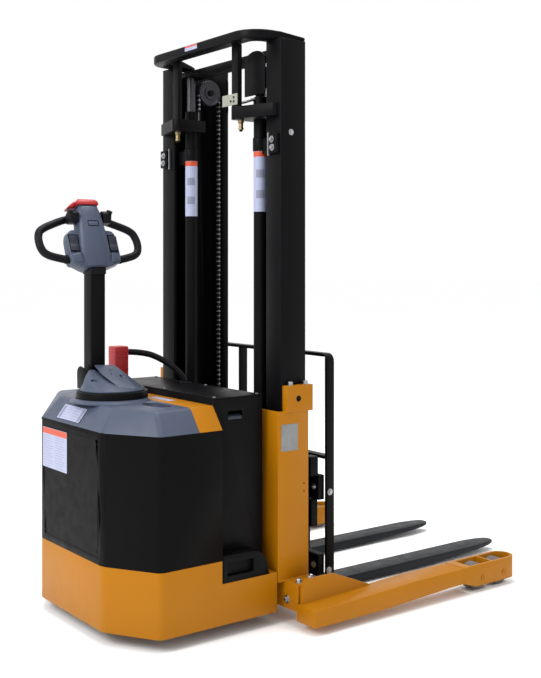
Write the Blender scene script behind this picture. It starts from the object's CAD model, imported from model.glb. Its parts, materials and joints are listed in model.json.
"""Looks of the walkie straddle stacker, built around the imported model.

Lengths are metres in the model's own frame. Many places are given as stations: X runs forward from
the rear face of the power unit, Y is to the left, Z is up.
"""

import json
import math

import bmesh
import bpy
from mathutils import Euler, Matrix, Vector


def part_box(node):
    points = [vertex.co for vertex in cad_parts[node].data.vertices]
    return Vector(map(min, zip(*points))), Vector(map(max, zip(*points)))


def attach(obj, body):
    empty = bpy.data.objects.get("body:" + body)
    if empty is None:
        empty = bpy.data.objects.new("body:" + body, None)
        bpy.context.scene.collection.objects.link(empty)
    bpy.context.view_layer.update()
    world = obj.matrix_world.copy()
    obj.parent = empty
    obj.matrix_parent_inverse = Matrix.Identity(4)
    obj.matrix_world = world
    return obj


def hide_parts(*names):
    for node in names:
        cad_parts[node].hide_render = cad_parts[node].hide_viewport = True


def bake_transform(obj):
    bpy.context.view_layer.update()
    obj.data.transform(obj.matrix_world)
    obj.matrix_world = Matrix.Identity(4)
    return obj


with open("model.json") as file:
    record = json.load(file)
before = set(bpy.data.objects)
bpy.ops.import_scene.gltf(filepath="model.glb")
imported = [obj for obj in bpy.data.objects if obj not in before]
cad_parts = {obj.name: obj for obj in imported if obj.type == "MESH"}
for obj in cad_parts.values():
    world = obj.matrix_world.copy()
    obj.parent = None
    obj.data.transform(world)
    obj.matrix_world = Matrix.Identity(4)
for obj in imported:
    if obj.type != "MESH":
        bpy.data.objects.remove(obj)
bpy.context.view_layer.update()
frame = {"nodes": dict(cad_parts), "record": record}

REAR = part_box("chassis_frame")[0].x
SIDES = (("left", 1), ("right", -1))
BODY_OF = {
    node: body for body, nodes in frame["record"]["behaviour"]["bodies"].items() for node in nodes
}
SLOT_OF = {part["node"]: part["material_slot"] for part in frame["record"]["subparts"]}


def station(x, y, z):
    """A point given by its distance from the power unit's rear face."""
    return Vector((REAR + x, y, z))


# ---------------------------------------------------------------- camera
def make_camera():
    data = bpy.data.cameras.new("camera")
    data.sensor_width = 36
    data.lens = 55.4336
    data.shift_y = -0.111504
    camera = bpy.data.objects.new("camera", data)
    camera.location = station(-1.629, -3.314, 1.261)
    camera.rotation_euler = (math.radians(90), 0, math.radians(-37.05))
    bpy.context.scene.collection.objects.link(camera)
    bpy.context.scene.camera = camera


make_camera()


# ---------------------------------------------------------------- materials
class Graph:
    """A material's node tree, with short calls for the nodes that the finishes share."""

    def __init__(self, name, metallic=0.0, specular=0.5):
        self.material = bpy.data.materials.new(name)
        self.material.use_nodes = True
        self.tree = self.material.node_tree
        self.shader = self.tree.nodes["Principled BSDF"]
        self.shader.inputs["Metallic"].default_value = metallic
        self.shader.inputs["Specular IOR Level"].default_value = specular
        self.where = self.tree.nodes.new("ShaderNodeTexCoord").outputs["Object"]

    def link(self, output, target):
        self.tree.links.new(output, target)

    def feed(self, output, socket):
        self.link(output, self.shader.inputs[socket])

    def noise(self, scale, detail=3.0, rough=0.6, stretch=(1, 1, 1)):
        place = self.tree.nodes.new("ShaderNodeMapping")
        place.inputs["Scale"].default_value = stretch
        self.link(self.where, place.inputs["Vector"])
        node = self.tree.nodes.new("ShaderNodeTexNoise")
        node.inputs["Scale"].default_value = scale
        node.inputs["Detail"].default_value = detail
        node.inputs["Roughness"].default_value = rough
        self.link(place.outputs["Vector"], node.inputs["Vector"])
        return node.outputs["Fac"]

    def cells(self, scale):
        node = self.tree.nodes.new("ShaderNodeTexVoronoi")
        node.inputs["Scale"].default_value = scale
        self.link(self.where, node.inputs["Vector"])
        return node.outputs["Distance"]

    def ramp(self, source, low, high, out_low=0.0, out_high=1.0):
        node = self.tree.nodes.new("ShaderNodeMapRange")
        for socket, value in zip(
            ("From Min", "From Max", "To Min", "To Max"), (low, high, out_low, out_high)
        ):
            node.inputs[socket].default_value = value
        self.link(source, node.inputs["Value"])
        return node.outputs["Result"]

    def blend(self, share, first, second):
        """Colour mix of two colours or outputs by a share."""
        node = self.tree.nodes.new("ShaderNodeMix")
        node.data_type = "RGBA"
        self.link(share, node.inputs["Factor"])
        for socket, value in zip((node.inputs[6], node.inputs[7]), (first, second)):
            if isinstance(value, tuple):
                socket.default_value = (*value, 1)
            else:
                self.link(value, socket)
        return node.outputs[2]

    def bump(self, height, distance, strength=1.0):
        node = self.tree.nodes.new("ShaderNodeBump")
        node.inputs["Distance"].default_value = distance
        node.inputs["Strength"].default_value = strength
        self.link(height, node.inputs["Height"])
        self.feed(node.outputs["Normal"], "Normal")


def shade(colour, factor):
    return tuple(min(1.0, c * factor) for c in colour)


def srgb(red, green, blue):
    """Linear colour of an 8-bit screen colour."""
    def linear(value):
        value /= 255
        return value / 12.92 if value <= 0.04045 else ((value + 0.055) / 1.055) ** 2.4
    return tuple(linear(v) for v in (red, green, blue))


def enamel(name, colour, rough, spread=0.05, coat=0.0, peel=0.00008, specular=0.5):
    """Paint: slow colour drift, faint handling marks and orange peel."""
    g = Graph(name, 0.0, specular)
    drift = g.ramp(g.noise(3.0), 0.3, 0.7)
    base = g.blend(drift, shade(colour, 1 - spread), shade(colour, 1 + spread))
    marks = g.ramp(g.noise(38, 6, 0.7, (1, 1, 3)), 0.62, 0.80, 0, 0.18)
    base = g.blend(marks, base, shade(colour, 0.8))
    g.feed(base, "Base Color")
    g.feed(g.ramp(g.noise(18, 5), 0.3, 0.7, rough - 0.05, rough + 0.07), "Roughness")
    g.bump(g.noise(420, 2), peel)
    g.shader.inputs["Coat Weight"].default_value = coat
    g.shader.inputs["Coat Roughness"].default_value = 0.12
    return g.material


def moulded(name, colour, rough, grain=900, depth=0.00012, spread=0.05, specular=0.4):
    """Injection-moulded plastic with a fine leathery grain and handling marks."""
    g = Graph(name, 0.0, specular)
    drift = g.ramp(g.noise(5.0), 0.35, 0.65)
    base = g.blend(drift, shade(colour, 1 - spread), shade(colour, 1 + spread))
    scuffs = g.ramp(g.noise(30, 6, 0.7, (1, 1, 5)), 0.64, 0.80, 0, 0.12)
    base = g.blend(scuffs, base, shade(colour, 1.4))
    g.feed(base, "Base Color")
    g.feed(g.ramp(g.noise(26, 5), 0.3, 0.7, rough - 0.06, rough + 0.08), "Roughness")
    g.bump(g.cells(grain), depth, 0.6)
    return g.material


def bare_metal(name, colour, rough, stretch=(1, 1, 30), depth=0.00004, metallic=1.0):
    """Ground or turned steel: fine scratches along one direction over slow tarnish."""
    g = Graph(name, metallic)
    lines = g.noise(300, 3, 0.7, stretch)
    tarnish = g.ramp(g.noise(9, 4), 0.4, 0.7)
    base = g.blend(tarnish, shade(colour, 1.08), shade(colour, 0.78))
    g.feed(base, "Base Color")
    g.feed(g.ramp(lines, 0.3, 0.7, rough - 0.06, rough + 0.12), "Roughness")
    g.bump(lines, depth)
    return g.material


def rubber(name, colour, rough=0.75, grain=500, specular=0.3):
    g = Graph(name, 0.0, specular)
    dust = g.ramp(g.noise(12, 5), 0.45, 0.75, 0, 0.4)
    g.feed(g.blend(dust, colour, shade(colour, 1.7)), "Base Color")
    g.feed(g.ramp(g.noise(40, 4), 0.3, 0.7, rough - 0.08, min(0.95, rough + 0.1)), "Roughness")
    g.bump(g.noise(grain, 3), 0.0002)
    return g.material


def scuffed_enamel(name, colour, metal):
    """Fork paint, rubbed along the blade where loads slide on and off."""
    g = Graph(name, 0.0, 0.12)
    drift = g.ramp(g.noise(4.0), 0.3, 0.7)
    base = g.blend(drift, shade(colour, 0.85), shade(colour, 1.15))
    streaks = g.ramp(g.noise(11, 7, 0.7, (1, 6, 6)), 0.63, 0.74, 0, 0.55)
    base = g.blend(streaks, base, metal)
    g.feed(base, "Base Color")
    g.feed(g.ramp(g.noise(22, 5), 0.3, 0.7, 0.34, 0.50), "Roughness")
    g.bump(g.noise(260, 4), 0.0001)
    return g.material


YELLOW_RGB = srgb(160, 101, 4)
MAT = {
    "yellow_paint": enamel("yellow_enamel", YELLOW_RGB, 0.38, 0.04, 0.0, specular=0.14),
    "black_paint": enamel("black_powder_coat", srgb(10, 10, 12), 0.38, 0.10, 0.0, 0.00012, 0.07),
    "cover_black": moulded("black_cover_plastic", srgb(9, 8, 8), 0.44, specular=0.05),
    "grey_blue_plastic": moulded("grey_blue_plastic", srgb(62, 70, 87), 0.38, specular=0.26),
    "fork_grey": scuffed_enamel("fork_enamel", srgb(20, 22, 26), srgb(62, 66, 76)),
    "bright_steel": bare_metal("ground_steel", srgb(78, 79, 82), 0.34),
    "dark_steel": bare_metal("oiled_steel", srgb(62, 62, 66), 0.40, (1, 1, 1), 0.00008),
    "cast_housing": enamel("cast_housing_paint", srgb(104, 106, 110), 0.60, 0.08, 0.0, 0.0005),
    "black_rubber": rubber("black_rubber", srgb(12, 12, 16), 0.48, specular=0.12),
    "wheel_polyurethane": rubber("wheel_polyurethane", srgb(88, 82, 78), 0.5, 160),
    "tread_rubber": rubber("tread_rubber", srgb(30, 29, 28), 0.8),
    "red_plastic": moulded("red_plastic", srgb(158, 24, 28), 0.34),
}
ZINC = bare_metal("zinc_plate", srgb(168, 169, 172), 0.38, (1, 1, 1), 0.00005)
BRASS = bare_metal("brass", srgb(112, 98, 70), 0.40, (1, 1, 1), 0.00005)
WHITE_FILM = enamel("white_film", srgb(154, 160, 186), 0.38, 0.03)
ORANGE_FILM = enamel("orange_film", srgb(186, 66, 30), 0.38, 0.04)
GREY_INK = enamel("grey_ink", srgb(118, 122, 142), 0.45, 0.06)
SILVER_FILM = bare_metal("silver_film", srgb(130, 132, 130), 0.45, (1, 1, 1), 0.00003, 0.6)
IVORY = enamel("ivory_zinc", srgb(136, 137, 126), 0.40, 0.06)
ROCKER_GREY = moulded("rocker_grey", srgb(40, 44, 54), 0.36, specular=0.25)
DARK_GAP = rubber("dark_recess", srgb(9, 9, 10), 0.85, specular=0.1)


# ---------------------------------------------------------------- mesh helpers
def finish_mesh(bm, name, material, angle=40):
    """Object from a bmesh, shaded smooth but for edges sharper than angle."""
    mesh = bpy.data.meshes.new(name)
    bm.to_mesh(mesh)
    bm.free()
    mesh.shade_smooth()
    mesh.set_sharp_from_angle(angle=math.radians(angle))
    for one in material if isinstance(material, (list, tuple)) else (material,):
        mesh.materials.append(one)
    made = bpy.data.objects.new(name, mesh)
    bpy.context.scene.collection.objects.link(made)
    return made


def round_edges(bm, width, segments=2, angle=28, chosen=None):
    """Rounds the edges that are sharper than angle, or those of them that chosen picks, at full width."""
    limit = math.radians(angle)
    sharp = [
        e for e in bm.edges
        if len(e.link_faces) == 2 and e.calc_face_angle(0) > limit and (chosen is None or chosen(e))
    ]
    bmesh.ops.bevel(
        bm, geom=sharp, offset=width, segments=segments, profile=0.5, affect="EDGES",
        clamp_overlap=chosen is None,
    )


def cad_bmesh(node):
    """A CAD node's shape as a closed mesh with its flat faces in one piece."""
    bm = bmesh.new()
    bm.from_mesh(frame["nodes"][node].data)
    bmesh.ops.remove_doubles(bm, verts=bm.verts, dist=2e-5)
    flat = math.radians(0.5)
    bmesh.ops.dissolve_limit(bm, angle_limit=flat, verts=bm.verts, edges=bm.edges)
    return bm


def stands_for(piece, body, slot=None, *nodes):
    """Rides a finished piece on its body, and hides the CAD nodes that it replaces."""
    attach(piece, body)
    if nodes:
        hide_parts(*nodes)
    return piece


def refined(node, width=0.0015, segments=2, large=None, angle=40):
    """A CAD node's own shape with rounded edges; large is (width, chooser) for its bold corners."""
    bm = cad_bmesh(node)
    if large is not None:
        round_edges(bm, large[0], 4, 20, large[1])
    round_edges(bm, width, segments)
    piece = finish_mesh(bm, f"{node}_body", MAT[SLOT_OF[node]], angle)
    return stands_for(piece, BODY_OF[node], SLOT_OF[node], node)


PLANES = {
    "XY": (0, 0, 0),
    "XZ": (math.pi / 2, 0, 0),
    "YZ": (math.pi / 2, 0, math.pi / 2),
}
NORMAL = {"XY": 2, "XZ": 1, "YZ": 0}


def curve_mesh(data, matrix=Matrix.Identity(4)):
    """bmesh of a filled or bevelled curve, with its caps welded on."""
    guide = bpy.data.objects.new("guide", data)
    bpy.context.scene.collection.objects.link(guide)
    graph = bpy.context.evaluated_depsgraph_get()
    mesh = bpy.data.meshes.new_from_object(guide.evaluated_get(graph))
    bm = bmesh.new()
    bm.from_mesh(mesh)
    bmesh.ops.remove_doubles(bm, verts=bm.verts, dist=1e-5)
    bmesh.ops.transform(bm, matrix=matrix, verts=bm.verts)
    bmesh.ops.recalc_face_normals(bm, faces=bm.faces)
    bpy.data.objects.remove(guide)
    bpy.data.curves.remove(data)
    bpy.data.meshes.remove(mesh)
    return bm


def plate_mesh(outline, plane, span, edge=0.001, holes=()):
    """Flat outline, in stations, extruded across span, with rounded rims and holes."""
    data = bpy.data.curves.new("plate", "CURVE")
    data.dimensions = "2D"
    data.fill_mode = "BOTH"
    data.extrude = abs(span[1] - span[0]) / 2 - edge
    data.bevel_depth = edge
    data.bevel_resolution = 1
    data.offset = -edge
    for loop in (outline, *holes):
        spline = data.splines.new("POLY")
        spline.points.add(len(loop) - 1)
        for point, (u, v) in zip(spline.points, loop):
            point.co = (u, v, 0, 1)
        spline.use_cyclic_u = True
    turn = Euler(PLANES[plane]).to_matrix().to_4x4()
    shift = station(0, 0, 0)
    shift[NORMAL[plane]] += (span[0] + span[1]) / 2
    return curve_mesh(data, Matrix.Translation(shift) @ turn)


def tube_mesh(points, radius, sides=4):
    """Round bar along a smooth route through the points, with closed ends."""
    data = bpy.data.curves.new("tube", "CURVE")
    data.dimensions = "3D"
    data.bevel_depth = radius
    data.bevel_resolution = sides
    data.use_fill_caps = True
    route = smooth_route(points)
    spline = data.splines.new("POLY")
    spline.points.add(len(route) - 1)
    for point, at in zip(spline.points, route):
        point.co = (*at, 1)
    return curve_mesh(data)


def smooth_route(points, per_span=6):
    """Catmull-Rom curve through the points."""
    points = [Vector(p) for p in points]
    ends = [2 * points[0] - points[1], *points, 2 * points[-1] - points[-2]]
    route = []
    for a, b, c, d in zip(ends, ends[1:], ends[2:], ends[3:]):
        for i in range(per_span):
            t = i / per_span
            route.append(
                0.5 * (2 * b + (c - a) * t + (2 * a - 5 * b + 4 * c - d) * t**2
                       + (3 * b - a - 3 * c + d) * t**3)
            )
    return [*route, points[-1]]


def lathe_mesh(profile, centre, axis, steps=48):
    """Solid of revolution of a (radius, height) profile; its ends on the axis close it."""
    bm = bmesh.new()
    rings = []
    for radius, height in profile:
        if radius < 1e-6:
            rings.append([bm.verts.new((0, 0, height))])
        else:
            rings.append([
                bm.verts.new((radius * math.cos(a), radius * math.sin(a), height))
                for a in (2 * math.pi * i / steps for i in range(steps))
            ])
    closed = rings if profile[0][0] < 1e-6 else [*rings, rings[0]]
    for low, high in zip(closed, closed[1:]):
        for i in range(steps):
            j = (i + 1) % steps
            corners = [low[i % len(low)], low[j % len(low)], high[j % len(high)], high[i % len(high)]]
            unique = list(dict.fromkeys(corners))
            if len(unique) > 2:
                bm.faces.new(unique)
    turn = Vector((0, 0, 1)).rotation_difference(Vector(axis)).to_matrix().to_4x4()
    bmesh.ops.transform(bm, matrix=Matrix.Translation(centre) @ turn, verts=bm.verts)
    bmesh.ops.recalc_face_normals(bm, faces=bm.faces)
    return bm


def hull_mesh(points, edge=0.002, segments=2):
    bm = bmesh.new()
    for point in points:
        bm.verts.new(point)
    made = bmesh.ops.convex_hull(bm, input=bm.verts)
    spare = [v for v in made["geom_interior"] if isinstance(v, bmesh.types.BMVert)]
    bmesh.ops.delete(bm, geom=spare, context="VERTS")
    bmesh.ops.recalc_face_normals(bm, faces=bm.faces)
    bmesh.ops.dissolve_limit(bm, angle_limit=math.radians(1), verts=bm.verts, edges=bm.edges)
    if edge:
        round_edges(bm, edge, segments, 12)
    return bm


def box_mesh(low, high, edge=0.001):
    corners = [(x, y, z) for x in (low[0], high[0]) for y in (low[1], high[1]) for z in (low[2], high[2])]
    return hull_mesh([station(*c) for c in corners], edge)


def loft_mesh(rings, levels=2, caps=True):
    """Subdivision surface over rings that all have the same number of points."""
    bm = bmesh.new()
    made = [[bm.verts.new(p) for p in ring] for ring in rings]
    count = len(made[0])
    for low, high in zip(made, made[1:]):
        for i in range(count):
            j = (i + 1) % count
            bm.faces.new((low[i], low[j], high[j], high[i]))
    if caps:
        bm.faces.new(list(reversed(made[0])))
        bm.faces.new(made[-1])
    bmesh.ops.recalc_face_normals(bm, faces=bm.faces)
    mesh = bpy.data.meshes.new("cage")
    bm.to_mesh(mesh)
    bm.free()
    cage = bpy.data.objects.new("cage", mesh)
    bpy.context.scene.collection.objects.link(cage)
    smooth = cage.modifiers.new("smooth", "SUBSURF")
    smooth.levels = levels
    graph = bpy.context.evaluated_depsgraph_get()
    result = bmesh.new()
    result.from_mesh(cage.evaluated_get(graph).to_mesh())
    bpy.data.objects.remove(cage)
    return result


def boolean_mesh(bm, tool, operation="DIFFERENCE"):
    """First mesh cut by, or joined with, the second."""
    holders = []
    for name, part in (("first", bm), ("tool", tool)):
        mesh = bpy.data.meshes.new(name)
        part.to_mesh(mesh)
        part.free()
        holder = bpy.data.objects.new(name, mesh)
        bpy.context.scene.collection.objects.link(holder)
        holders.append(holder)
    step = holders[0].modifiers.new("step", "BOOLEAN")
    step.operation = operation
    step.solver = "EXACT"
    step.object = holders[1]
    graph = bpy.context.evaluated_depsgraph_get()
    result = bmesh.new()
    result.from_mesh(holders[0].evaluated_get(graph).to_mesh())
    for holder in holders:
        bpy.data.objects.remove(holder)
    return result


def together(parts):
    """One bmesh that holds several; each item is a bmesh or a (bmesh, material index) pair."""
    whole = bmesh.new()
    for part in parts:
        bm, index = part if isinstance(part, tuple) else (part, 0)
        for face in bm.faces:
            face.material_index = index
        mesh = bpy.data.meshes.new("part")
        bm.to_mesh(mesh)
        bm.free()
        whole.from_mesh(mesh)
        bpy.data.meshes.remove(mesh)
    return whole


def arc(centre, radius, start, stop, steps):
    angles = [math.radians(start + (stop - start) * i / steps) for i in range(steps + 1)]
    return [(centre[0] + radius * math.cos(a), centre[1] + radius * math.sin(a)) for a in angles]


def rounded_rectangle(u0, u1, v0, v1, radius, steps=4):
    corners = ((u1 - radius, v1 - radius, 0), (u0 + radius, v1 - radius, 90),
               (u0 + radius, v0 + radius, 180), (u1 - radius, v0 + radius, 270))
    return [p for u, v, a in corners for p in arc((u, v), radius, a, a + 90, steps)]


# ---------------------------------------------------------------- fasteners
def hex_bolt(place, axis, across=0.013, height=0.007, washer=True):
    """Hexagon head with a chamfered top on a washer, standing on place along axis."""
    radius = across / math.sqrt(3)
    rim = 0.88 * radius
    head = lathe_mesh(
        [
            (0, height), (rim, height), (radius, height - 0.15 * height), (radius, 0), (0, 0)
        ], (0, 0, 0), (0, 0, 1), 6
    )
    parts = [head]
    if washer:
        r = across * 0.92
        parts.append(
            lathe_mesh(
                [(0, 0.0016), (r - 0.0005, 0.0016), (r, 0.0011), (r, 0), (0, 0)], (0, 0, 0), (0, 0, 1), 24
            )
        )
        bmesh.ops.translate(head, vec=(0, 0, 0.0015), verts=head.verts)
    return moved(together(parts), place, axis)


def socket_bolt(place, axis, radius=0.008, height=0.008):
    """Cap screw with a hexagon socket."""
    body = lathe_mesh(
        [
            (radius * 0.5, height), (radius * 0.86, height), (radius, height * 0.86), (radius, 0),
            (radius * 0.5, 0)
        ],
        (0, 0, 0), (0, 0, 1), 24,
    )
    floor = lathe_mesh([(0, height * 0.45), (radius * 0.52, height * 0.45), (radius * 0.52, 0), (0, 0)],
                       (0, 0, 0), (0, 0, 1), 6)
    return moved(together([body, floor]), place, axis)


def moved(bm, place, axis):
    turn = Vector((0, 0, 1)).rotation_difference(Vector(axis)).to_matrix().to_4x4()
    bmesh.ops.transform(bm, matrix=Matrix.Translation(place) @ turn, verts=bm.verts)
    return bm


def fittings(name, body, slot, parts, material=None):
    """Small parts of one material on one body, as one piece."""
    piece = finish_mesh(together(parts), name, material or MAT[slot], 35)
    return stands_for(piece, body, slot)


# ---------------------------------------------------------------- power unit
def outer_corner(edge):
    """Upright edges at the four rear corners of the power unit."""
    a, b = (v.co for v in edge.verts)
    upright = abs(a.z - b.z) > 0.9 * (a - b).length
    across = abs((a.y + b.y) / 2)
    return upright and (a.x - REAR < 0.001 or (across > 0.4195 and a.x - REAR < 0.12))


def octagon(inset, front):
    """Plan of the power unit, moved inwards by inset."""
    half, rear_half = 0.42 - inset, 0.233 - 0.55 * inset
    chamfer = 0.114 + 0.3 * inset
    return [
        (front, -half), (front, half), (chamfer, half), (inset, rear_half), (inset, -rear_half),
        (chamfer, -half)
    ]


def top_cover():
    """Grey moulded cap with soft edges, a collar round the steering base and a storage recess."""
    low, high, inset = 0.700, 0.777, 0.06
    points = [station(x, y, low + 0.0003) for x, y in octagon(0.0012, 0.2637)]
    points += [station(x, y, high) for x, y in octagon(inset, 0.2637)]
    cap = hull_mesh(points, 0)
    front = REAR + 0.2637 - 0.001
    soft = [
        e for e in cap.edges
        if min(v.co.x for v in e.verts) < front and max(v.co.z for v in e.verts) > 0.72
        and e.calc_face_angle(0) > 0.3
    ]
    bmesh.ops.bevel(cap, geom=soft, offset=0.013,
    segments=5, profile=0.5, affect="EDGES", clamp_overlap=True)
    slot = plate_mesh(rounded_rectangle(0.176, 0.240, -0.302, -0.168, 0.028, 6), "XY",
    (0.764, 0.800), 0.004)
    cap = boolean_mesh(cap, slot)
    bore = lathe_mesh(
        [(0, 0.05), (0.04, 0.05), (0.04, -0.05), (0, -0.05)], station(0.165, 0, high), (0, 0, 1)
    )
    cap = boolean_mesh(cap, bore)
    collar = lathe_mesh(
        [
            (0.1285, -0.004), (0.1285, 0.006), (0.1305, 0.0085), (0.134, 0.0085), (0.141, 0.004),
            (0.150, 0), (0.150, -0.004)
        ],
        station(0.165, 0, high), (0, 0, 1), 72,
    )
    low_side = [v for v in collar.verts if v.co.x > REAR + 0.2635]
    bmesh.ops.delete(collar, geom=low_side, context="VERTS")
    stands_for(
        finish_mesh(together([cap, collar]), "top_cover_moulding", MAT["grey_blue_plastic"], 35),
        "chassis", "grey_blue_plastic", "top_cover",
    )


def power_unit():
    corners = (0.018, outer_corner)
    refined("chassis_frame", 0.003, 2, corners)
    refined("drive_cover", 0.0005, 1, corners)
    refined("rear_access_panel", 0.0005, 1)
    refined("cover_band", 0.006, 3)
    refined("battery_case", 0.002, 2)
    refined("battery_lid", 0.0012, 2)
    top_cover()
    seam = [(x, y) for x, y in octagon(0.0005, 0.3555)]
    inner = [(x, y) for x, y in octagon(0.012, 0.348)]
    trim = plate_mesh(seam, "XY", (0.693, 0.6999), 0.0004, [inner])
    fittings("cover_top_trim", "chassis", "cover_black", [trim])
    ledges = []
    for _, side in SIDES:
        y = sorted((side * 0.3625, side * 0.345))
        corners = [station(x, v, z) for x in (0.417, 0.475) for v, z in ((y[0], 0.7225), (y[1], 0.7225))]
        outer = max(y, key=abs)
        inner_y = min(y, key=abs)
        corners += [station(x, v, z) for x in (0.417, 0.475) for v, z in ((outer, 0.7330),
        (inner_y, 0.7400))]
        ledges.append(hull_mesh(corners, 0.002))
    fittings("battery_lift_ledges", "chassis", None, ledges, ROCKER_GREY)


def lid_screws():
    places = [station(x, y, 0.8013) for x in (0.370, 0.551) for y in (-0.345, -0.02, 0.345)]
    fittings("lid_screws", "chassis", None, [socket_bolt(p,
    (0, 0, 1), 0.0055, 0.003) for p in places], ZINC)
    cap_screws = [station(0.0, y, z) for y in (-0.19, 0.19) for z in (0.30, 0.66)]
    turned = [socket_bolt(p + Vector((0.0012, 0, 0)), (-1, 0, 0), 0.0055, 0.002) for p in cap_screws]
    fittings("panel_screws", "chassis", "black_paint", turned)
    grommet = [(0.0205, -0.001), (0.0205, 0.004), (0.0185, 0.006), (0.0150, 0.006), (0.0150, -0.001)]
    ring = lathe_mesh(grommet, station(CABLE[0], CABLE[1], 0.8013), (0, 0, 1), 32)
    fittings("cable_grommet", "chassis", "black_rubber", [ring])


# ---------------------------------------------------------------- blank labels
def label(name, body, centre, right, up, size, header=0.0, rules=0, base=None, columns=1, bars=()):
    """Film with rounded corners, a coloured header and thin rules; it carries no lettering."""
    right, up = Vector(right).normalized(), Vector(up).normalized()
    out = right.cross(up)
    basis = Matrix((right, up, out)).transposed().to_4x4()
    place = Matrix.Translation(centre) @ basis
    wide, tall = size[0] / 2, size[1] / 2

    def patch(u0, u1, v0, v1, low, high, index, radius=0.0006):
        outline = rounded_rectangle(u0, u1, v0, v1, radius, 3)
        data = bmesh.new()
        bottom = [data.verts.new((u, v, low)) for u, v in outline]
        top = [data.verts.new((u, v, high)) for u, v in outline]
        data.faces.new(list(reversed(bottom)))
        data.faces.new(top)
        for i in range(len(outline)):
            j = (i + 1) % len(outline)
            data.faces.new((bottom[i], bottom[j], top[j], top[i]))
        bmesh.ops.transform(data, matrix=place, verts=data.verts)
        return data, index

    parts = [patch(-wide, wide, -tall, tall, -0.0002, 0.0004, 0, 0.003)]
    top = tall
    if header:
        parts.append(patch(-wide + 0.001, wide - 0.001, tall - header, tall - 0.001, 0.0003, 0.0006, 1))
        top = tall - header
    for row in range(rules):
        v = top - (row + 0.8) * (top + tall) / (rules + 0.6)
        for column in range(columns):
            u0 = -wide + 0.005 + column * (2 * wide - 0.004) / columns
            u1 = u0 + (2 * wide - 0.004) / columns * (0.80 if (row + column) % 3 else 0.62)
            parts.append(patch(u0, u1, v - 0.0007, v + 0.0007, 0.0003, 0.0005, 2, 0.0003))
    for u0, u1, v0, v1, index in bars:
        parts.append(patch(u0, u1, v0, v1, 0.0003, 0.0006, index))
    films = (base or WHITE_FILM, ORANGE_FILM, GREY_INK)
    stands_for(finish_mesh(together(parts), name, films, 30), body)


def wrapped_label(name, body, centre, radius, facing, half_angle, low, high):
    """Film bent round a cylinder, with an orange header and two grey blocks."""
    bands = ((low, high, 0.0003, 0), (high - 0.020, high - 0.0008, 0.0006, 1))
    blocks = [(low + share * (high - low), 0.030) for share in (0.22, 0.56)]
    bands += tuple((z, z + tall, 0.0006, 2) for z, tall in blocks)
    parts = []
    for index, (z0, z1, lift, material) in enumerate(bands):
        reach = half_angle if index < 2 else half_angle * 0.45
        bm = bmesh.new()
        steps = 18
        columns = []
        for i in range(steps + 1):
            a = math.radians(facing - reach + 2 * reach * i / steps)
            inner, outer = radius - 0.0002, radius + lift
            columns.append([
                bm.verts.new((centre[0] + r * math.cos(a), centre[1] + r * math.sin(a), z))
                for r, z in ((inner, z0), (outer, z0), (outer, z1), (inner, z1))
            ])
        for a, b in zip(columns, columns[1:]):
            for k in range(4):
                bm.faces.new((a[k], b[k], b[(k + 1) % 4], a[(k + 1) % 4]))
        bm.faces.new(columns[0])
        bm.faces.new(list(reversed(columns[-1])))
        bmesh.ops.recalc_face_normals(bm, faces=bm.faces)
        parts.append((bm, material))
    stands_for(finish_mesh(together(parts), name, (WHITE_FILM, ORANGE_FILM, GREY_INK), 30), body)


def labels():
    label(
        "rear_label", "chassis", station(-0.0005, 0.1205, 0.598), (0, -1, 0), (0, 0, 1), (0.195, 0.143),
        0.022, 13, None, 2
    )
    slope = Vector((0.06, 0, 0.077))
    middle = station(0.0255, 0.035, 0.7335) + Vector((-0.0008, 0, 0.0006))
    dark = [(-0.080 + 0.142 * i, -0.062 + 0.142 * i, -0.024, 0.024, 2) for i in range(2)]
    label("slope_label", "chassis", middle, (0, -1, 0), slope, (0.170, 0.056), 0, 5, None, 2, dark)
    label(
        "data_plate", "chassis", station(0.640, -0.4203, 0.648), (1, 0, 0), (0, 0, 1), (0.074, 0.094), 0, 8,
        SILVER_FILM
    )
    label(
        "tie_label", "chassis", station(0.5097, 0.019, 2.0775), (0, -1, 0), (0, 0, 1), (0.084, 0.019),
        0.007, 1
    )
    label("band_label", "chassis", station(0.310, -0.105, 0.7772), (0, -1, 0), (1, 0, 0),
    (0.13, 0.028), 0, 2)
    for name, side in SIDES:
        wrapped_label(
            f"cylinder_label_{name}", "chassis", station(0.65,
            side * 0.233, 0), 0.0245, 233, 82, 1.450, 1.671
        )


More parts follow.
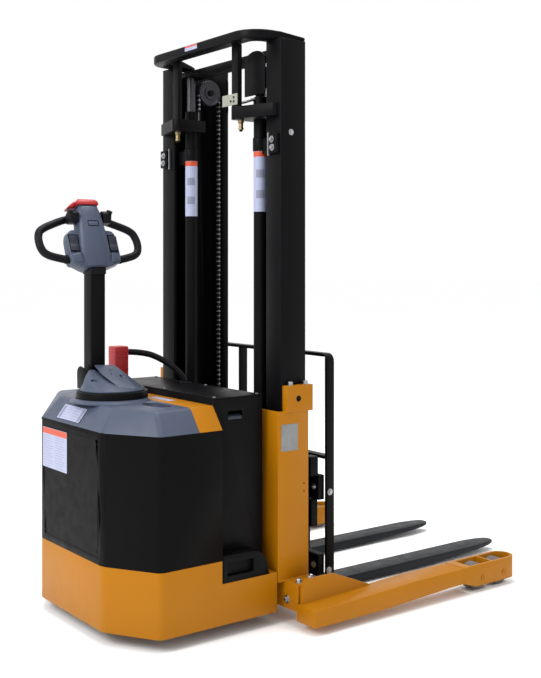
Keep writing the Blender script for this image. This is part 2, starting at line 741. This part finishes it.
# ---------------------------------------------------------------- steering foot
def steering_foot():
    """Round base, the two-lobed hood with its groove, and the curved yoke behind the arm."""
    base = lathe_mesh(
        [(0, 0.0328), (0.122, 0.0328), (0.1255, 0.0315), (0.127, 0.028), (0.127, 0), (0, 0)],
        station(0.165, 0, 0.7775), (0, 0, 1), 80,
    )
    ears = []
    for side in (-1, 1):
        x = sorted((0.152 + side * 0.0313, 0.152 + side * 0.0423))
        outline = [(0.078, 0.80), (0.142, 0.80), *arc((0.11, 0.845), 0.022, 0, 180, 12)]
        ears.append(plate_mesh(outline, "YZ", x, 0.001))
    pin = lathe_mesh([
        (0, 0.047), (0.007, 0.047), (0.008, 0.046), (0.008, -0.046), (0.007, -0.047), (0, -0.047)
    ],
                     station(0.152, 0.11, 0.845), (1, 0, 0), 24)
    shaft = lathe_mesh(
        [(0, 0.282), (0.028, 0.282), (0.028, 0), (0, 0)], station(0.165, 0, 0.5013), (0, 0, 1), 32
    )
    stands_for(
        finish_mesh(together([base, *ears, pin, shaft]), "steer_column_turned", MAT["black_paint"], 35),
        "steer", "black_paint", "steer_column",
    )
    low = 0.8106

    def foot_arc(start, stop, radius=0.117):
        return [station(x, y, low) for x, y in arc((0.165, 0), radius, start, stop, 12)]

    rim = [p + Vector((0, 0, z)) for z in (0, 0.006) for p in foot_arc(165, 375)]
    crown = [station(0.152 + s * 0.040, y, z) for s in (-1, 1) for y, z in ((0.022, 0.858), (0.068, 0.872))]
    skirt = hull_mesh(rim + crown, 0.004, 2)
    right_lobe = hull_mesh(
        foot_arc(-72, 14, 0.114)
        + [station(0.206, -0.098, 0.824), station(0.252, -0.050, 0.826), station(0.246, 0.024, 0.832)]
        + [
            station(0.122, 0.026, 0.884), station(0.206, 0.030, 0.884), station(0.126, 0.070, 0.896),
            station(0.206, 0.070, 0.893)
        ]
        + [station(0.150, -0.085, 0.824), station(0.122, 0.000, 0.868)],
        0.007, 4,
    )
    left_lobe = hull_mesh(
        foot_arc(166, 262, 0.114)
        + [station(0.076, -0.052, 0.826), station(0.064, -0.012, 0.836), station(0.070, 0.030, 0.850)]
        + [
            station(0.106, 0.010, 0.858), station(0.104, 0.040, 0.872), station(0.106, 0.070, 0.882),
            station(0.130, 0.060, 0.880)
        ]
        + [station(0.130, -0.060, 0.828)],
        0.007, 4,
    )
    holes = []
    for x, y, z, lean in ((0.196, -0.028, 0.862, 22), (0.092, -0.012, 0.852, -14)):
        slot = lathe_mesh(
            [(0, 0.004), (0.0085, 0.004), (0.0085, -0.030), (0, -0.030)], (0, 0, 0), (0, 0, 1), 28
        )
        bmesh.ops.scale(slot, vec=(1.0, 1.7, 1.0), verts=slot.verts)
        turn = Euler((math.radians(30), math.radians(lean), math.radians(30))).to_matrix().to_4x4()
        bmesh.ops.transform(slot, matrix=Matrix.Translation(station(x, y, z)) @ turn, verts=slot.verts)
        holes.append(slot)
    right_lobe = boolean_mesh(right_lobe, holes[0])
    left_lobe = boolean_mesh(left_lobe, holes[1])
    for x, y, z in ((0.170, 0.014, 0.886), (0.160, -0.010, 0.874)):
        dimple = lathe_mesh(
            [(0, 0.02), (0.0035, 0.02), (0.0035, -0.02), (0, -0.02)], station(x, y, z), (0.35, -0.5, 1), 16
        )
        right_lobe = boolean_mesh(right_lobe, dimple)
    stands_for(
        finish_mesh(
            together([skirt, right_lobe, left_lobe]), "tiller_hood_moulding", MAT["grey_blue_plastic"], 32
        ),
        "steer", "grey_blue_plastic", "tiller_hood",
    )
    yoke = []
    for side in (-1, 1):
        x = sorted((0.152 + side * 0.0450, 0.152 + side * 0.0510))
        outline = [
            (0.060, 0.806), (0.148, 0.806), (0.150, 0.850), *arc((0.124, 0.862), 0.026, 0, 100, 8),
            (0.090, 0.880), (0.068, 0.852)
        ]
        yoke.append(plate_mesh(outline, "YZ", x, 0.002))
    fittings("tiller_yoke", "steer", "black_paint", yoke)


def tiller_arm():
    half = 0.0293
    low, high = 0.828, 1.241
    outline = rounded_rectangle(0.152 - half, 0.152 + half, 0.11 - half, 0.11 + half, 0.005, 4)
    arm = plate_mesh(outline, "XY", (low, high), 0.001)
    bore = lathe_mesh(
        [(0, 0.1), (0.0083, 0.1), (0.0083, -0.1), (0, -0.1)], station(0.152, 0.11, 0.845), (1, 0, 0), 20
    )
    stands_for(
        finish_mesh(boolean_mesh(arm, bore), "tiller_arm_tube", MAT["black_paint"], 35),
        "tiller", "black_paint", "tiller_arm",
    )
    collar = plate_mesh(
        rounded_rectangle(
            0.152 - 0.033, 0.152 + 0.033, 0.11 - 0.033, 0.11 + 0.033, 0.008, 4
        ), "XY", (1.222, 1.246), 0.002
    )
    fittings("head_gaiter", "tiller", "black_rubber", [collar])


# ---------------------------------------------------------------- tiller head
LEAN = math.radians(22)
HEAD_BASE = station(0.152, 0.11, 1.2403)


def head_point(across, depth, up):
    """A point in the head's own leaning frame; negative depth faces the operator."""
    return HEAD_BASE + Vector((
        across,
        depth * math.cos(LEAN) + up * math.sin(LEAN),
        up * math.cos(LEAN) - depth * math.sin(LEAN),
    ))


def head_lump(sections, edge, segments=3, shift=0.0):
    """Convex lump through sections, each (half width, front, back, up)."""
    points = [
        head_point(shift + across, depth, up)
        for half, front, back, up in sections
        for across in (-half, half)
        for depth in (front, back)
    ]
    return hull_mesh(points, edge, segments)


def spine_ring(half, front, back, up):
    cross = [
        (half, back), (half, 0.4 * back + 0.6 * front), (0.93 * half, 0.12 * back + 0.88 * front),
        (0.55 * half, front), (0, front - 0.0015),
    ]
    cross += [(-u, v) for u, v in reversed(cross[:-1])]
    return [head_point(across, depth, up) for across, depth in cross]


def tiller_head():
    sections = (
        (0.050, -0.040, 0.036, -0.004), (0.054, -0.042, 0.036, 0.002), (0.062, -0.047, 0.033, 0.030),
        (0.062, -0.054, 0.033, 0.075), (0.057, -0.056, 0.032, 0.125), (0.053, -0.056, 0.030, 0.170),
        (0.048, -0.053, 0.026, 0.210), (0.0440, -0.048, 0.024, 0.229), (0.0430, -0.047, 0.024, 0.2325),
    )
    spine = loft_mesh([spine_ring(*s) for s in sections])
    spine = boolean_mesh(
        spine, head_lump(((0.0225, -0.075, -0.0500, 0.1460), (0.0225, -0.075, -0.0490, 0.1700)), 0.003)
    )
    foot = head_lump(
        (
            (0.040, -0.036, 0.034, -0.004), (0.088, -0.033, 0.018, 0.012), (0.097, -0.032, 0.014, 0.050)
        ), 0.007, 4
    )
    neck = head_lump(((0.0375, -0.0405, 0.018, 0.226), (0.0365, -0.0395, 0.017, 0.2435)), 0.002, 2)
    lumps = [spine, foot, neck]
    for _, side in SIDES:
        pod = hull_mesh([
            head_point(side * across, depth, up)
            for across, front, up in (
                (0.040, -0.030, 0.030), (0.1015, -0.030, 0.040), (0.1010, -0.028, 0.108),
                (0.094, -0.027, 0.132),
                (0.082, -0.028, 0.142), (0.040, -0.028, 0.146),
            )
            for depth in (front, 0.014)
        ], 0.008, 4)
        pocket = head_lump(
            ((0.0205, -0.070, -0.0205, 0.054), (0.0205, -0.070, -0.0190, 0.124)), 0.002, 2, side * 0.0765
        )
        lumps.append(boolean_mesh(pod, pocket))
        lumps.append(hull_mesh([
            head_point(side * across, depth, up)
            for across, front, up in (
                (0.056, -0.040, 0.010), (0.096, -0.035, 0.014), (0.1050, -0.030, 0.046),
                (0.062, -0.042, 0.052)
            )
            for depth in (front, 0.024)
        ], 0.007, 4))
    stands_for(
        finish_mesh(together(lumps), "tiller_head_moulding", MAT["grey_blue_plastic"], 38),
        "tiller", "grey_blue_plastic", "tiller_head",
    )
    for name, side in SIDES:
        route = [
            head_point(side * across, depth, up)
            for across, depth, up in (
                (0.090, -0.004, 0.034), (0.112, -0.004, 0.036), (0.140, -0.004, 0.042),
                (0.168, -0.004, 0.050),
                (0.187, -0.003, 0.062), (0.1965, -0.002, 0.080), (0.1995, 0.000, 0.104),
                (0.1965, 0.003, 0.128),
                (0.187, 0.005, 0.148), (0.166, 0.007, 0.163), (0.136, 0.010, 0.177), (0.105, 0.013, 0.190),
                (0.075, 0.016, 0.200), (0.0403, 0.016, 0.202),
            )
        ]
        loop = tube_mesh(route, 0.0145, 5)
        sleeve = tube_mesh([head_point(side * a, -0.004, 0.0355) for a in (0.096, 0.104, 0.112)], 0.0162, 5)
        stands_for(
            finish_mesh(together([loop, sleeve]), f"handle_loop_{name}_grip", MAT["black_rubber"], 40),
            "tiller", "black_rubber", f"handle_loop_{name}",
        )
    head_controls()


def head_controls():
    """Paddles, reverse button, horn button and the two rockers, each on its own joint."""
    shaft = tube_mesh([head_point(a, -0.014, 0.205) for a in (-0.062, 0, 0.062)], 0.007, 4)
    parts = [shaft]
    section = ((-0.056, 0.199), (-0.042, 0.168), (-0.005, 0.172), (-0.003, 0.206), (-0.034, 0.218))
    for _, side in SIDES:
        parts.append(hull_mesh(
            [
                head_point(side * across, depth, up) for across in (0.0500, 0.083) for depth, up in section
            ], 0.003, 3
        ))
        parts.append(hull_mesh(
            [head_point(side * across, depth, up) for across in (0.074, 0.0860)
             for depth, up in ((-0.061, 0.205), (-0.052, 0.197), (-0.032, 0.212),
             (-0.038, 0.222))], 0.002, 2
        ))
    stands_for(finish_mesh(together(parts), "thumb_paddles_moulding", MAT["black_rubber"], 35),
               "thumb_paddles", "black_rubber", "thumb_paddles")
    cap = head_lump(
        (
            (0.0430, -0.0465, 0.024, 0.2382), (0.0415, -0.0445, 0.022, 0.255),
            (0.0340, -0.035, 0.016, 0.2650)
        ), 0.004, 3
    )
    cap = boolean_mesh(
        cap, head_lump(((0.0390, -0.0420, 0.0195, 0.230), (0.0380, -0.0410, 0.0185, 0.2500)), 0)
    )
    stands_for(
        finish_mesh(cap, "reverse_button_cap", MAT["red_plastic"], 38), "reverse_button", "red_plastic",
        "reverse_button"
    )
    flank = hull_mesh([
        head_point(across, depth, up)
        for across, up in (
            (-0.0450, 0.258), (-0.066, 0.244), (-0.076, 0.233), (-0.062, 0.2315), (-0.0450, 0.240)
        )
        for depth in (-0.030, 0.014)
    ], 0.003, 3)
    fittings("red_side_guard", "tiller", "red_plastic", [flank])
    horn = head_lump(((0.0190, -0.0570, -0.0440, 0.1500), (0.0190, -0.0560, -0.0440, 0.1665)), 0.0025, 3)
    stands_for(
        finish_mesh(horn, "horn_button_cap", MAT["grey_blue_plastic"], 38), "horn_button", "cover_black",
        "horn_button"
    )
    for name, side in SIDES:
        rocker = head_lump(
            ((0.0165, -0.0325, -0.0270, 0.060), (0.0165, -0.0320, -0.0265, 0.118)), 0, 2, side * 0.079
        )
        high = head_lump(
            ((0.0165, -0.0330, -0.0265, 0.094), (0.0165, -0.0345, -0.0265, 0.118)), 0.0015, 2, side * 0.079
        )
        low = head_lump(
            ((0.0165, -0.0350, -0.0270, 0.060), (0.0165, -0.0330, -0.0270, 0.084)), 0.0015, 2, side * 0.079
        )
        round_edges(rocker, 0.001, 2)
        stands_for(finish_mesh(together([rocker, high, low]), f"lift_rocker_{name}_cap", ROCKER_GREY, 35),
                   f"lift_rocker_{name}", "cover_black", f"lift_rocker_{name}")


# ---------------------------------------------------------------- battery plug and cable
CABLE = (0.5285, 0.085)


def battery_plug():
    low, high = station(0.2715, 0.171, 0.8003), station(0.3285, 0.229, 0.947)
    corners = [Vector((x, y, z)) for x in (low.x, high.x) for y in (low.y, high.y) for z in (low.z, high.z)]
    body = hull_mesh(corners, 0.005, 4)
    seam = plate_mesh(
        rounded_rectangle(0.2709, 0.3291, 0.1704, 0.2296, 0.005, 4), "XY", (0.858, 0.863), 0.001
    )
    grip = [
        plate_mesh(rounded_rectangle(0.2709, 0.3291, 0.1704, 0.2296, 0.005, 4), "XY", (z, z + 0.004), 0.001)
        for z in (0.905, 0.915, 0.925)
    ]
    stands_for(finish_mesh(together([body, seam, *grip]), "battery_plug_shell", MAT["red_plastic"], 35),
               "battery_plug", "red_plastic", "battery_plug")


# ---------------------------------------------------------------- mast
def leaf_chain_link(x, y, z, pitch, plates, thick=0.0050):
    """One pitch of leaf chain that runs upright: outer plates, inner plates and a pin."""
    bms = []
    gap = 0.014 / plates
    for index in range(plates):
        centre = z if index % 2 else z + pitch / 2
        waist = thick * 0.62
        outline = [
            *arc((x, centre + pitch / 2), thick, 0, 180, 6),
            (x - waist, centre),
            *arc((x, centre - pitch / 2), thick, 180, 360, 6),
            (x + waist, centre),
        ]
        v = y - 0.007 + gap * (index + 0.5)
        bm = bmesh.new()
        faces = [
            [bm.verts.new(station(px, v + offset, pz)) for px, pz in outline]
            for offset in (-gap * 0.42, gap * 0.42)
        ]
        bm.faces.new(faces[0])
        bm.faces.new(list(reversed(faces[1])))
        for i in range(len(outline)):
            j = (i + 1) % len(outline)
            bm.faces.new((faces[0][i], faces[0][j], faces[1][j], faces[1][i]))
        bmesh.ops.recalc_face_normals(bm, faces=bm.faces)
        bms.append((bm, 0))
    pin = [
        (0, 0.0077), (0.0030, 0.0077), (0.0034, 0.0073), (0.0034, -0.0073), (0.0030, -0.0077), (0, -0.0077)
    ]
    bms.append((lathe_mesh(pin, station(x, y, z), (0, 1, 0), 12), 1))
    bar = [station(x - 0.0058, v, z + dz) for v in (y - 0.0064, y + 0.0064) for dz in (-0.0030, 0.0030)]
    bar += [p + Vector((0.0012, 0, 0)) for p in bar]
    bms.append((hull_mesh(bar, 0), 1))
    return bms


def chains():
    """Leaf chains: a short rear run, the wrap on the sheave and the long front run."""
    pitch, top, bottom = 0.0185, 1.950, 0.395
    for name, side in SIDES:
        y = side * 0.22
        front_x, rear_x = 0.725 + 0.0485, 0.725 - 0.0485
        count = int((top - bottom) / pitch)
        step = (top - bottom) / count
        parts = []
        for i in range(count):
            parts += leaf_chain_link(front_x, y, bottom + step * (i + 0.25), step, 5)
        run = finish_mesh(together(parts), f"lift_chain_{name}_front", (MAT["dark_steel"], ZINC), 35)
        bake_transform(run)
        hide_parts(f"lift_chain_{name}")
        rear = []
        for i in range(4):
            rear += leaf_chain_link(rear_x, y, 1.878 + 0.018 * (i + 0.25), 0.018, 5)
        short = finish_mesh(together(rear), f"lift_chain_{name}_rear", (MAT["dark_steel"], ZINC), 35)
        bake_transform(short)
        wrap = []
        for i in range(12):
            a = math.radians(7.5 + 15 * i)
            hub = station(0.725, y, 1.95)
            link = []
            for index in range(5):
                v = y - 0.007 + 0.0028 * (index + 0.5)
                spread = math.radians(10.5)
                turn = math.radians(7.5) if index % 2 else 0
                points = [
                    Vector((hub.x + r * math.cos(a + turn + da), v + dv, hub.z + r * math.sin(a + turn + da)))
                    for r in (0.0437, 0.0533)
                    for da in (-spread, spread)
                    for dv in (-0.0012, 0.0012)
                ]
                link.append((hull_mesh(points, 0), 0))
            centre = Vector((hub.x + 0.0485 * math.cos(a), y, hub.z + 0.0485 * math.sin(a)))
            link.append(
                (
                    lathe_mesh(
                        [(0, 0.0077), (0.0030, 0.0077), (0.0030, -0.0077), (0, -0.0077)], centre, (0, 1, 0),
                        10
                    ),
                    1
                )
            )
            wrap += link
        over = finish_mesh(together(wrap), f"lift_chain_{name}_wrap", (MAT["dark_steel"], ZINC), 35)
        stands_for(over, "inner_mast", "dark_steel")
        anchor = [
            lathe_mesh(
                [(0, 0.03), (0.004, 0.03), (0.004, -0.06), (0, -0.06)], station(rear_x, y, 1.87), (0, 0, 1),
                12
            ),
        ]
        fittings(f"chain_anchor_rod_{name}", "chassis", None, anchor, ZINC)


def sheave(name, side):
    """Turned chain wheel with a deep rim, a web and a hub with its circlip."""
    y = side * 0.22
    profile = [
        (0.050, 0.0118), (0.0495, 0.0122), (0.0435, 0.0122), (0.0420, 0.0105), (0.0260, 0.0085),
        (0.0245, 0.0120),
        (0.0235, 0.0125), (0.0125, 0.0125), (0.0125, -0.0125), (0.0235, -0.0125), (0.0245, -0.0120),
        (0.0260, -0.0085),
        (0.0420, -0.0105), (0.0435, -0.0122), (0.0495, -0.0122), (0.050, -0.0118), (0.050, -0.0080),
        (0.0430, -0.0080),
        (0.0430, 0.0080), (0.050, 0.0080),
    ]
    wheel = lathe_mesh(profile, station(0.725, y, 1.95), (0, 1, 0), 64)
    holes = [
        lathe_mesh([(0.0010, 0.0010), (0.0042, 0.0010), (0.0042, -0.0190), (0.0010, -0.0190)],
                   station(
                       0.725 + 0.033 * math.cos(a), y + 0.0092, 1.95 + 0.033 * math.sin(a)
                   ), (0, 1, 0), 12)
        for a in (math.pi / 3 * i for i in range(6))
    ]
    stands_for(finish_mesh(together([wheel, *holes]), f"chain_sheave_{name}_turned", MAT["dark_steel"], 35),
               f"sheave_{name}", "dark_steel", f"chain_sheave_{name}")


def lift_cylinder(name, side):
    """Hydraulic cylinder with its gland collar, foot boss and hose port."""
    profile = [
        (0.0185, 1.870), (0.0235, 1.870), (0.0255, 1.8685), (0.0255, 1.8312), (0.0245, 1.8305),
        (0.0245, 1.722),
        (0.0270, 1.7205), (0.0277, 1.7190), (0.0277, 1.6740), (0.0270, 1.6725), (0.0245, 1.6715),
        (0.0245, 0.200),
        (0.0262, 0.198), (0.0262, 0.1478), (0.0, 0.1478), (0.0, 0.300), (0.0185, 0.300), (0.0185, 1.870),
    ][:-1]
    body = lathe_mesh(profile, station(0.65, side * 0.233, 0), (0, 0, 1), 56)
    port = lathe_mesh([(0, 0.018), (0.007, 0.018), (0.008, 0.016), (0.008, 0), (0, 0)],
                      station(0.65, side * 0.258, 0.19), (0, side, 0), 20)
    stands_for(finish_mesh(together([body, port]), f"lift_cylinder_{name}_turned", MAT["black_paint"], 35),
               "chassis", "black_paint", f"lift_cylinder_{name}")


def mast_details():
    for name, side in SIDES:
        sheave(name, side)
        lift_cylinder(name, side)
        bolts = [
            hex_bolt(station(0.6005, side * 0.367, 1.701), (-1, 0, 0), 0.013, 0.007),
            hex_bolt(station(0.6005, side * 0.370, 1.672), (-1, 0, 0), 0.013, 0.007),
            hex_bolt(station(0.662, side * 0.4005, 1.727), (0, side, 0), 0.012, 0.006),
            hex_bolt(station(0.6145, side * 0.350, 1.812), (-1, 0, 0), 0.011, 0.005),
        ]
        fittings(f"mast_bolts_{name}", "chassis", None, bolts, ZINC)
        y = sorted((side * 0.345, side * 0.392))
        clamp = [
            box_mesh((0.6010, y[0], 1.652), (0.6168, y[1], 1.722), 0.0015),
            box_mesh(
                (0.640, min(side * 0.258, side * 0.312), 1.660),
                (0.652, max(side * 0.258, side * 0.312), 1.715), 0.0015
            ),
        ]
        fittings(f"cylinder_clamp_{name}", "chassis", "black_paint", clamp)
        strip_y = sorted((side * 0.334, side * 0.339))
        fittings(f"clamp_strip_{name}", "chassis", None,
                 [box_mesh((0.606, strip_y[0], 1.645), (0.616, strip_y[1], 1.728), 0.0006)], ZINC)
        post_y = sorted((side * 0.130, side * 0.224)) if side < 0 else (0.1845, 0.2200)
        if side < 0:
            plate = box_mesh((0.5515, post_y[0], 1.837), (0.5555, post_y[1], 1.878), 0.0008)
            fittings("ivory_plate", "chassis", None, [plate], IVORY)
            dots = [socket_bolt(station(0.5513, y0, z), (-1, 0, 0), 0.0040, 0.003)
                    for y0, z in ((-0.205, 1.865), (-0.205, 1.850), (-0.186, 1.852))]
            fittings("ivory_plate_screws", "chassis", "dark_steel", dots)
            pipe = tube_mesh([station(0.565, -0.205, 1.846), station(0.590, -0.215, 1.850),
            station(0.612, -0.225, 1.858),
                              station(0.628, -0.229, 1.862)], 0.006, 4)
            fittings("breather_pipe", "chassis", None, [pipe], ZINC)
        fitting = [
            (0, 0.002), (0.0120, 0.002), (0.0120, -0.012), (0.0090, -0.014), (0.0090, -0.030),
            (0.0105, -0.032),
            (0.0105, -0.038), (0, -0.038),
        ]
        spot = station(0.575, side * 0.216, 1.785)
        fittings(f"port_fitting_{name}", "chassis", None, [lathe_mesh(fitting, spot, (0, 0, 1), 6)], BRASS)
        tip = [(0, 0), (0.006, 0), (0.006, -0.006), (0, -0.006)]
        fittings(f"port_plug_{name}", "chassis", "black_rubber",
                 [lathe_mesh(tip, spot + Vector((0, 0, -0.038)), (0, 0, 1), 20)])
        arch_y = (side * 0.180, side * 0.306)
        mid = (arch_y[0] + arch_y[1]) / 2
        outline = [(arch_y[0], 1.874), *[(mid + 0.063 * -side * math.cos(a), 1.995 + 0.040 * math.sin(a))
                   for a in (math.pi * i / 14 for i in range(15))], (arch_y[1], 1.874)]
        arch = plate_mesh(outline, "YZ", (0.6165, 0.6215) if side < 0 else (0.7895, 0.7945), 0.0008)
        tongue = box_mesh(
            (0.6205, min(side * 0.235, side * 0.228), 2.0085),
            (0.640, max(side * 0.235, side * 0.228), 2.0215), 0.0008
        )
        fittings(f"rod_guard_{name}", "inner_mast", "black_paint", [arch, tongue])
        weld = tube_mesh([station(0.6165, side * 0.3855, z) for z in (1.787, 1.80, 1.815, 1.828)], 0.003, 3)
        fittings(f"ear_weld_{name}", "chassis", "black_paint", [weld])


# ---------------------------------------------------------------- chassis ironwork, carriage and legs
def ironwork():
    for name, side in SIDES:
        clamp_bolts = [
            socket_bolt(station(0.648, side * 0.414, 0.8302), (0, 0, 1), 0.0095, 0.013),
            socket_bolt(station(0.715, side * 0.414, 0.8302), (0, 0, 1), 0.0095, 0.013),
            hex_bolt(station(0.617 - 0.0002, side * 0.435, 0.087), (-1, 0, 0), 0.016, 0.008),
            hex_bolt(station(0.700, side * 0.462, 0.1472), (0, 0, 1), 0.017, 0.011),
            hex_bolt(station(0.650, side * 0.462, 0.1472), (0, 0, 1), 0.017, 0.011),
        ]
        fittings(f"foot_bolts_{name}", "chassis", None, clamp_bolts, ZINC)
        holes = [
            lathe_mesh([(0, 0.0006), (0.0028, 0.0006), (0.0028, -0.001), (0, -0.001)],
                       station(0.705, side * 0.42, z), (0, side, 0), 16)
            for z in (0.479, 0.451)
        ]
        fittings(f"column_holes_{name}", "chassis", None, holes, DARK_GAP)
        dark = lathe_mesh([(0, 0.0010), (0.0100, 0.0010), (0.0100, -0.020), (0, -0.020)],
                          station(0.675, side * 0.427, 0.783), (0, side, 0), 28)
        fittings(f"clamp_bore_{name}", "chassis", None, [dark], DARK_GAP)
        welds = [
            tube_mesh([station(0.590, side * v, 0.1478) for v in (0.310, 0.34, 0.38, 0.416)], 0.0035, 3),
            tube_mesh([station(x, side * 0.4205, 0.1478) for x in (0.592, 0.63, 0.68, 0.724)], 0.0035, 3),
        ]
        fittings(f"column_welds_{name}", "chassis", "yellow_paint", welds)
        rest = [
            hex_bolt(station(0.855, side * 0.3862, 0.422), (0, side, 0), 0.013, 0.006),
            hex_bolt(station(0.850, side * 0.3862, 0.136), (0, side, 0), 0.013, 0.006),
            hex_bolt(station(0.8118, side * 0.345, 0.440), (-1, 0, 0), 0.014, 0.007),
            hex_bolt(station(0.8118, side * 0.345, 0.155), (-1, 0, 0), 0.014, 0.007),
        ]
        fittings(f"backrest_bolts_{name}", "carriage", None, rest, ZINC)
        y = sorted((side * 0.330, side * 0.372))
        block = [
            box_mesh((0.774, y[0], 0.4855), (0.8115, y[1], 0.556), 0.003),
            box_mesh((0.782, y[0] + 0.004, 0.300), (0.8115, y[1] - 0.004, 0.398), 0.003),
        ]
        fittings(f"carriage_stop_{name}", "carriage", "black_paint", block)
        axles = [
            socket_bolt(station(x, side * 0.6002, 0.052), (0,
            side, 0), 0.010, 0.003) for x in (1.445, 1.567)
        ]
        fittings(f"load_axle_heads_{name}", f"leg_{name}", "yellow_paint", axles)


KEPT = {
    "straddle_cross_tube": (0.003, 2), "mast_top_tie": (0.005, 3), "fork_left": (0.004, 3),
    "fork_right": (0.004, 3),
    "straddle_leg_left": (0.003, 2), "straddle_leg_right": (0.003, 2), "mast_column_left": (0.0025, 2),
    "mast_column_right": (0.0025, 2), "load_backrest": (0.0015, 2), "outer_channel_left": (0.002, 2),
    "outer_channel_right": (0.002, 2),
    "inner_mast": (0.002, 2), "fork_carriage": (0.002, 2),
}
OWN_SHAPE = {
    "chassis_frame", "drive_cover", "rear_access_panel", "cover_band", "battery_case", "battery_lid",
    "top_cover",
    "steer_column", "tiller_hood", "tiller_arm", "tiller_head", "handle_loop_left", "handle_loop_right",
    "thumb_paddles", "reverse_button", "horn_button", "lift_rocker_left", "lift_rocker_right",
    "battery_plug",
    "lift_chain_left", "lift_chain_right", "chain_sheave_left", "chain_sheave_right", "lift_cylinder_left",
    "lift_cylinder_right", "ear_bracket_left", "ear_bracket_right",
}
for node in sorted(set(frame["nodes"]) - OWN_SHAPE):
    refined(node, *KEPT.get(node, (0.0015, 2)))
def ear_corner(edge):
    """Upright edges at the rear end of an ear bracket, but for the guard post."""
    a, b = (v.co for v in edge.verts)
    upright = abs(a.z - b.z) > 0.9 * (a - b).length
    return upright and a.x - REAR < 0.601 and max(a.z, b.z) < 1.8305 and abs(a.y) > 0.23


for side_name, _ in SIDES:
    refined(f"ear_bracket_{side_name}", 0.0022, 2, (0.012, ear_corner))
power_unit()
lid_screws()
labels()
steering_foot()
tiller_arm()
tiller_head()
battery_plug()
chains()
mast_details()
ironwork()


# ---------------------------------------------------------------- studio
def studio():
    bm = bmesh.new()
    bmesh.ops.create_circle(bm, cap_ends=True, radius=80, segments=96)
    g = Graph("pale_floor")
    base = g.blend(g.ramp(g.noise(0.7), 0.3, 0.7), (0.985, 0.985, 0.985), (1.0, 1.0, 1.0))
    g.feed(base, "Base Color")
    g.shader.inputs["Roughness"].default_value = 0.9
    g.shader.inputs["Specular IOR Level"].default_value = 0.0
    finish_mesh(bm, "floor", g.material)

    world = bpy.data.worlds.new("studio")
    bpy.context.scene.world = world
    world.use_nodes = True
    world.node_tree.nodes["Background"].inputs["Color"].default_value = (1, 1, 1, 1)
    world.node_tree.nodes["Background"].inputs["Strength"].default_value = 1.0

    def softbox(name, place, aim, size, power):
        data = bpy.data.lights.new(name, "AREA")
        data.shape = "RECTANGLE"
        data.size, data.size_y = size
        data.energy = power
        light = bpy.data.objects.new(name, data)
        light.location = place
        light.rotation_euler = (Vector(aim) - Vector(place)).to_track_quat("-Z", "Y").to_euler()
        bpy.context.scene.collection.objects.link(light)

    softbox("key", (-4.5, -0.4, 3.6), (-0.3, 0, 0.6), (2.5, 2.5), 150)
    softbox("overhead", (0.0, 0.3, 5.0), (0, 0, 0), (3, 3), 170)
    bpy.context.scene.view_settings.view_transform = "Standard"


studio()
